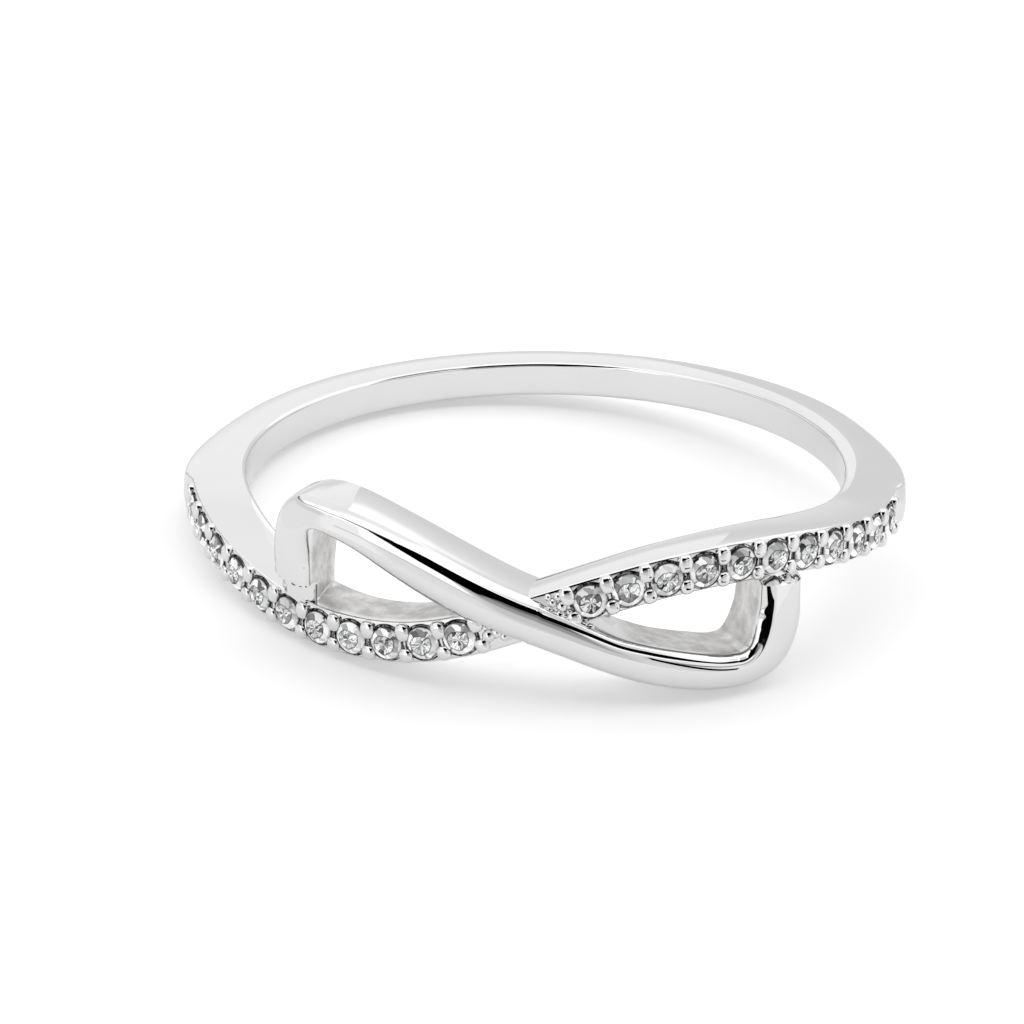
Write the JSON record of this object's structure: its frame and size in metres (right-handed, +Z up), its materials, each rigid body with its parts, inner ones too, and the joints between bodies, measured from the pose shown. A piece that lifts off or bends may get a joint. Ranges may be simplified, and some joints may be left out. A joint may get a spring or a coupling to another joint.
{
  "type": "infinity ring",
  "caption": "Finger ring whose front crosses over itself as a sideways figure eight, one strand polished and the other set with a row of small round stones.",
  "frame": {"origin": "centre of the finger bore, on its axis and halfway along its length", "axes": "+Z up from the surface that the ring lies on, -Y towards the front with the crossing, +X to the right; the bore's axis leans 6.1 degrees from +Z because the ring rests on its knot"},
  "size_m": [0.0208, 0.0207, 0.0043],
  "materials": {
    "silver": "mirror polished, rhodium plated; brushed inside the openings",
    "stones": "clear, faceted and polished"
  },
  "bodies": {
    "root": {"ring_band": "silver", "stone_left_01": "stones", "stone_left_02": "stones", "stone_left_03": "stones", "stone_left_04": "stones", "stone_left_05": "stones", "stone_left_06": "stones", "stone_left_07": "stones", "stone_left_08": "stones", "stone_left_09": "stones", "stone_left_10": "stones", "stone_left_11": "stones", "stone_right_01": "stones", "stone_right_02": "stones", "stone_right_03": "stones", "stone_right_04": "stones", "stone_right_05": "stones", "stone_right_06": "stones", "stone_right_07": "stones", "stone_right_08": "stones", "stone_right_09": "stones", "stone_right_10": "stones", "stone_right_11": "stones"}
  },
  "joints": []
}
